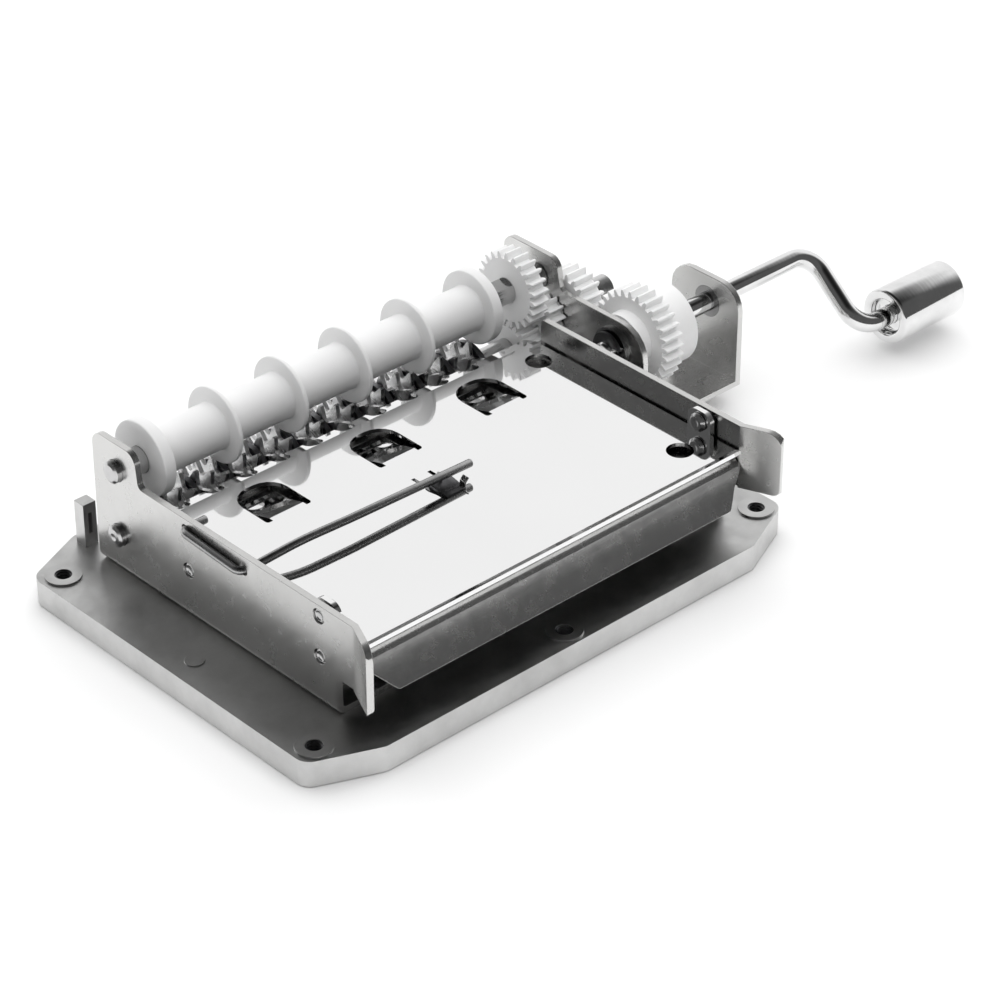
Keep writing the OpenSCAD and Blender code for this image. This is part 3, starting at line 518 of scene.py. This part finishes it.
class SoftenSheets(bpy.types.Operator):
    """Round the edges of the castings, the sheet parts and the gears."""
    bl_idname = "movement.soften_sheets"
    bl_label = "Casting, sheets and gears"

    def execute(self, context):
        s = sizes()
        softened("base_plate", "base_casting", s.cast_edge)
        softened("comb_anvil", "anvil_casting", s.cast_edge * 0.6)
        for node in ("left_side_plate", "right_rail", "gear_frame", "lower_guide"):
            softened(node, node + "_sheet", s.sheet_edge)
        softened("top_plate", "pressing_plate", s.sheet_edge * 0.6, trim=saddle_box())
        for node in ("roller_gear", "feed_gear", "pinion", "outer_gear", "crank_gear"):
            softened(node, node + "_moulding", s.tooth_edge, sharp=30.0)
        return {"FINISHED"}


class TurnRoller(bpy.types.Operator):
    """Turn the roller: its body, two end hubs and four thin flanges."""
    bl_idname = "movement.turn_roller"
    bl_label = "Roller"

    def execute(self, context):
        low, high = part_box("upper_roller")
        y, z = axis_of("roller_spin")
        flange = (high.z - low.z) / 2
        body = flange * 0.615
        clearance = 0.06 * MM
        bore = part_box("roller_axle")[1].z - z + clearance
        left_hub, right_hub = 1.9 * MM, 1.8 * MM
        first, pitch, half = 11.5 * MM, 12.0 * MM, 0.35 * MM
        start = low.x + left_hub
        end = high.x - right_hub
        profile = [(low.x, bore), (low.x, flange), (start, flange), (start, body)]
        for k in range(4):
            x = start + first + pitch * k
            profile += [(x - half, body), (x - half, flange), (x + half, flange), (x + half, body)]
        profile += [(end, body), (end, flange), (high.x, flange), (high.x, bore), (low.x, bore)]
        edge_r = 0.22 * MM
        verts, faces = turned(profile, y, z, fillet=edge_r)
        add_piece("roller_moulding", closed_mesh("roller_moulding", verts, faces), "roller",
                  "clear_nylon", ("upper_roller",))
        return {"FINISHED"}


class BendCrank(bpy.types.Operator):
    """Bend the crank rod, and turn its knob with the recess round the pin."""
    bl_idname = "movement.bend_crank"
    bl_label = "Crank and knob"

    def execute(self, context):
        s = sizes()
        y0, z0 = axis_of("crank_spin")
        y1, z1 = axis_of("knob_spin")
        rod_low, rod_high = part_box("crank_rod")
        radius = rod_high.z - z0
        knob_low, knob_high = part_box("crank_knob")
        arm_to_knob = 5.9 * MM
        arm_x = knob_low.x - arm_to_knob
        corners = np.array([(rod_low.x, y0, z0), (arm_x, y0, z0), (arm_x, y1, z1), (rod_high.x, y1, z1)])
        line = filleted(corners, s.rod_bend, steps=14)
        verts, faces = swept(line, radius, sides=32)
        add_piece("crank_rod_bent", closed_mesh("crank_rod_bent", verts, faces), "crank", "chrome",
                  ("crank_rod",))
        r = (knob_high.z - knob_low.z) / 2
        bore, recess, cavity = 1.55 * MM, 2.9 * MM, 3.2 * MM
        recess_depth, cavity_depth = 1.4 * MM, 4.8 * MM
        a, b = knob_low.x, knob_high.x
        floor_a, floor_b = a + recess_depth, b - cavity_depth
        profile = [(floor_a, bore), (floor_a, recess), (a, recess), (a, r), (b, r), (b, cavity),
                   (floor_b, cavity), (floor_b, bore), (floor_a, bore)]
        edge_r = 0.45 * MM
        verts, faces = turned(profile, y1, z1, fillet=edge_r)
        add_piece("knob_sleeve", closed_mesh("knob_sleeve", verts, faces), "knob", "chrome",
                  ("crank_knob",))
        return {"FINISHED"}


class SpringWire(bpy.types.Operator):
    """Bend the wire spring: a run outside the left plate and a long leg over the pressing plate."""
    bl_idname = "movement.spring_wire"
    bl_label = "Wire spring"

    def execute(self, context):
        low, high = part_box("wire_spring")
        r = sizes().wire_radius
        outside, end, deck = (low.x + r) / MM, high.x / MM - 0.3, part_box("left_side_plate")[0].z / MM
        route = [(-33.0, 6.7, 14.55), (outside, 6.7, 14.55), (outside, -5.75, 13.9), (-34.4, -5.75, 13.9),
                 (-27.3, -6.5, 14.9), (-18.4, -6.85, 14.8), (end, -6.95, 14.3)]
        bends = np.array([1.3, 1.3, 1.5, 30.0, 60.0]) * MM
        corners = (np.array(route) + (0, 0, deck)) * MM
        verts, faces = swept(filleted(corners, bends, steps=8), r, sides=20)
        add_piece("wire_spring_bent", closed_mesh("wire_spring_bent", verts, faces), "frame", "steel",
                  ("wire_spring",), material="wire_finish")
        return {"FINISHED"}


class CurlSaddle(bpy.types.Operator):
    """Curl the saddle under the wire: a dark leaf over its window, a curled ear in front of the wire
    and a small hook behind it."""
    bl_idname = "movement.curl_saddle"
    bl_label = "Saddle"

    def execute(self, context):
        left, right, top = saddle_place()

        def outline(points, base, bend, steps):
            """Points in millimetres beyond a base place and over the plate's face, corners rounded."""
            return filleted([(base + a * MM, top + z * MM) for a, z in points], bend * MM, steps)

        leaf = outline([(-9.15, 0.1), (-8.0, 0.22), (-6.6, 0.5), (-5.3, 0.7), (-4.6, 0.66)], 0.0, 1.0, 4)
        flap = outline([(0.05, 0.1), (0.15, 0.8), (0.75, 1.35)], right, 0.5, 5)
        hook = outline([(-1.9, 0.7), (-1.7, 1.3), (-1.95, 1.9)], right, 0.4, 4)
        ribbon("saddle_strip", leaf, left, right, 0.25 * MM, "press_plate", "disc_steel")
        for name, line, start, end in (("saddle_ear", flap, -8.9 * MM, -7.75 * MM),
                                       ("saddle_hook", hook, -6.15 * MM, -5.3 * MM)):
            ribbon(name, line, start, end, 0.3 * MM, "press_plate", "polished_steel", along=1)
        return {"FINISHED"}


class SetRivets(bpy.types.Operator):
    """Set the domed rivets of the side plates, and the domed ends of the two axles."""
    bl_idname = "movement.set_rivets"
    bl_label = "Rivets and axle ends"

    @staticmethod
    def rivet(y, z, tip, inner, side):
        """A rivet along X: a shank from its tip, outside, to a domed head on the inner side."""
        dome = sizes().rivet_dome
        shank, head, head_edge = 1.12 * MM, 1.45 * MM, 0.3 * MM
        crown = inner + head_edge
        profile = [(tip + 0.12 * MM, 0), (tip, shank * 0.5), (tip - 0.15 * MM, shank * 0.7), (tip, shank),
                   (inner, shank), (inner, head), (crown, head), (crown + dome, head * 0.72),
                   (crown + dome, head * 0.4), (crown + dome * 0.6, 0)]
        verts, faces = turned(profile, y, z, fillet=0.1 * MM, steps=40)
        if side > 0:
            verts = verts * np.array([-1, 1, 1])
        return verts, faces

    def execute(self, context):
        head_r = 1.7 * MM               # of the rivets' heads in the CAD, which their boxes end at
        for node, tab, pairs in (("guide_rivets", 1.0 * MM, 2), ("pivot_rivets", 1.3 * MM, 1)):
            low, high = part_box(node)
            places = (low.y + head_r, high.y - head_r)[:pairs]
            z = (low.z + high.z) / 2
            inner = -TRACK_HALF + tab
            parts = [self.rivet(y, z, low.x, inner, side) for y in places for side in (-1, 1)]
            verts, faces = join(parts)
            add_piece(node + "_set", closed_mesh(node, verts, faces), "frame", "steel", (node,))
        for body, joint, node in (("feed_shaft", "feed_shaft_spin", "feed_shaft"),
                                  ("roller", "roller_spin", "roller_axle")):
            y, z = axis_of(joint)
            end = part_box(node)[0].x
            r, sunk = 1.65 * MM, 0.1 * MM
            profile = [(end + sunk, 0), (end + sunk, r), (end, r), (end - 0.25 * MM, r * 0.72),
                       (end - 0.3 * MM, r * 0.35), (end - 0.12 * MM, 0)]
            verts, faces = turned(profile, y, z, fillet=0.12 * MM, steps=48)
            add_piece(node + "_end", closed_mesh(node + "_end", verts, faces), body, "steel")
        return {"FINISHED"}


class CutThreads(bpy.types.Operator):
    """Cut the threads in the six mounting holes."""
    bl_idname = "movement.cut_threads"
    bl_label = "Mounting threads"

    @staticmethod
    def threaded_sleeve(x, y, top, outer, pitch, depth):
        """A sleeve in a hole: its inner radius falls short of the outer one by
        depth * (0.5 + 0.5 * cos(2 pi z / pitch - v)) ** 1.5 at the height z and the angle v, which is
        a helix, and its outside is the plain hole."""
        foot, head = 0.1 * MM, 0.15 * MM
        z = np.linspace(foot, top - head, 68)[:, None]
        v = np.linspace(0, 2 * math.pi, 40, endpoint=False)[None, :]
        wave = 0.5 + 0.5 * np.cos(2 * math.pi * z / pitch - v)
        wall_t = 0.03 * MM
        r = outer - wall_t - depth * wave ** 1.5
        inner = np.stack([x + r * np.cos(v), y + r * np.sin(v), z + 0 * v], axis=-1)
        r = outer + 0 * z
        wall = np.stack([x + r * np.cos(v), y + r * np.sin(v), z + 0 * v], axis=-1)
        return surface(np.concatenate([inner, wall[::-1]]), close_u=True)

    def execute(self, context):
        s = sizes()
        parts = []
        boss = 0.3 * MM                 # the rims round the holes stand this high
        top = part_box("left_side_plate")[0].z + boss
        for mount in frame["record"]["mounts"]:
            if mount["kind"] != "bolt_pattern":
                continue
            dims = mount["dims"]
            cx, cy = mount["pos_m"][0], mount["pos_m"][1]
            half_x = dims.get("spacing_x_mm", 0.0) / 2 * MM
            half_y = dims["spacing_y_mm"] / 2 * MM
            hole_r = dims["hole_r_mm"] * MM
            for x in ((cx - half_x, cx + half_x) if half_x else (cx,)):
                for y in (cy - half_y, cy + half_y):
                    parts.append(self.threaded_sleeve(x, y, top, hole_r, s.thread_pitch, s.thread_depth))
        verts, faces = join(parts)
        add_piece("mounting_threads", closed_mesh("mounting_threads", verts, faces), "frame", "cast_zinc",
                  material="dark_steel_finish")
        return {"FINISHED"}


class FinishNodes(bpy.types.Operator):
    """Give every node that stays its own finish."""
    bl_idname = "movement.finish_nodes"
    bl_label = "Finishes"

    def execute(self, context):
        for name, node in frame["nodes"].items():
            slot = SLOT_OF[name]
            finish = bpy.data.materials[FINISH_NAMES[slot]]
            if name in ("crank_clip", "intermediate_ring"):     # crank clip: dark finish as painted shade for the dark hollow round the pin end; intermediate ring: blackened spring steel
                finish = bpy.data.materials["dark_steel_finish"]
            node.data.materials.clear()
            node.data.materials.append(finish)
        return {"FINISHED"}


class SetStage(bpy.types.Operator):
    """Set the pale floor, the soft light and the camera."""
    bl_idname = "movement.set_stage"
    bl_label = "Stage"

    def execute(self, context):
        scene = context.scene
        half = 3.0
        mesh = bpy.data.meshes.new("floor")
        z = CAD_BOX[0].z - FLOOR_GAP
        mesh.from_pydata([(-half, -half, z), (half, -half, z), (half, half, z), (-half, half, z)], [],
                         [(0, 1, 2, 3)])
        floor = bpy.data.objects.new("floor", mesh)
        scene.collection.objects.link(floor)
        f = Finish("floor_finish", colours().floor, roughness=0.85)
        f.shade(f.noise(4, 2, 0.5), 0.995, 1.005)
        mesh.materials.append(f.material)
        self.light("overhead", (0.1, 0.1, 1.2), size=2.6, power=31.0)
        self.light("front", (-0.8, -0.9, 0.9), size=1.0, power=4.0)
        self.surroundings(scene)
        camera = bpy.data.cameras.new("camera")
        camera.lens = CAMERA_LENS
        camera.sensor_width = 36.0
        camera.clip_start, camera.clip_end = 0.01, 20.0
        seat = bpy.data.objects.new("camera", camera)
        scene.collection.objects.link(seat)
        seat.location = CAMERA_PLACE
        seat.rotation_euler = (math.pi / 2 - DOWN, 0.0, -HEADING)
        scene.camera = seat
        scene.view_settings.view_transform = "Standard"
        return {"FINISHED"}

    @staticmethod
    def light(name, place, size, power):
        """A square soft light that faces the middle of the object."""
        middle = (0.02, 0, 0)
        lamp = bpy.data.lights.new(name, "AREA")
        lamp.size = size
        lamp.energy = power
        seat = bpy.data.objects.new(name, lamp)
        bpy.context.scene.collection.objects.link(seat)
        seat.location = place
        seat.visible_glossy = False
        aim = Vector(middle) - Vector(place)
        seat.rotation_euler = aim.to_track_quat("-Z", "Y").to_euler()

    @staticmethod
    def surroundings(scene):
        """A white backdrop ahead of the camera and a dim room behind and above it: the brightness is
        one ramp over how far a direction points along the camera's heading, times another over how
        far it points up."""
        world = bpy.data.worlds.new("studio")
        scene.world = world
        world.use_nodes = True
        tree = world.node_tree
        tree.nodes.clear()
        coords = tree.nodes.new("ShaderNodeTexCoord")
        along = tree.nodes.new("ShaderNodeVectorMath")
        along.operation = "DOT_PRODUCT"
        along.inputs[1].default_value = (math.sin(HEADING), math.cos(HEADING), 0.0)
        split = tree.nodes.new("ShaderNodeSeparateXYZ")
        tree.links.new(coords.outputs["Generated"], along.inputs[0])
        tree.links.new(coords.outputs["Generated"], split.inputs["Vector"])
        ramps = []
        for value, low, high, dark in ((along.outputs["Value"], 0.1, 0.5, 0.10),
                                       (split.outputs["Z"], 0.84, 0.62, 0.12)):
            ramp = tree.nodes.new("ShaderNodeMapRange")
            ramp.interpolation_type = "SMOOTHSTEP"
            for socket, number in (("From Min", low), ("From Max", high),
                                   ("To Min", dark), ("To Max", 1.0)):
                ramp.inputs[socket].default_value = number
            tree.links.new(value, ramp.inputs["Value"])
            ramps.append(ramp.outputs["Result"])
        both = tree.nodes.new("ShaderNodeMath")
        both.operation = "MULTIPLY"
        tree.links.new(ramps[0], both.inputs[0])
        tree.links.new(ramps[1], both.inputs[1])
        back = tree.nodes.new("ShaderNodeBackground")
        out = tree.nodes.new("ShaderNodeOutputWorld")
        back.inputs["Color"].default_value = (1.0, 1.0, 1.0, 1.0)
        tree.links.new(both.outputs["Value"], back.inputs["Strength"])
        tree.links.new(back.outputs["Background"], out.inputs["Surface"])


class MovementPanel(bpy.types.Panel):
    """The movement's pieces, in the order they are made."""
    bl_label = "Paper-strip movement"
    bl_idname = "VIEW3D_PT_movement"
    bl_space_type = "VIEW_3D"
    bl_region_type = "UI"
    bl_category = "Movement"

    def draw(self, context):
        layout = self.layout
        for operator in OPERATORS:
            layout.operator(operator.bl_idname)
        for group in (context.scene.movement_sizes, context.scene.movement_colours):
            box = layout.box()
            for name in group.__annotations__:
                box.prop(group, name)


OPERATORS = (FinishNodes, SoftenSheets, TurnRoller, BendCrank, SpringWire, CurlSaddle, SetRivets,
             CutThreads, SetStage)
CLASSES = (MovementSizes, MovementColours) + OPERATORS + (MovementPanel,)


def register():
    """Adds the classes and their settings."""
    for cls in CLASSES:
        bpy.utils.register_class(cls)
    bpy.types.Scene.movement_sizes = bpy.props.PointerProperty(type=MovementSizes)
    bpy.types.Scene.movement_colours = bpy.props.PointerProperty(type=MovementColours)


def unregister():
    """Removes the classes and their settings."""
    del bpy.types.Scene.movement_colours
    del bpy.types.Scene.movement_sizes
    for cls in reversed(CLASSES):
        bpy.utils.unregister_class(cls)


def main():
    """Makes everything in order."""
    register()
    FINISH_NAMES.update({slot: material.name for slot, material in finishes().items()})
    bpy.ops.movement.finish_nodes()
    bpy.ops.movement.soften_sheets()
    bpy.ops.movement.turn_roller()
    bpy.ops.movement.bend_crank()
    bpy.ops.movement.spring_wire()
    bpy.ops.movement.curl_saddle()
    bpy.ops.movement.set_rivets()
    bpy.ops.movement.cut_threads()
    bpy.ops.movement.set_stage()


if __name__ == "__main__":
    main()
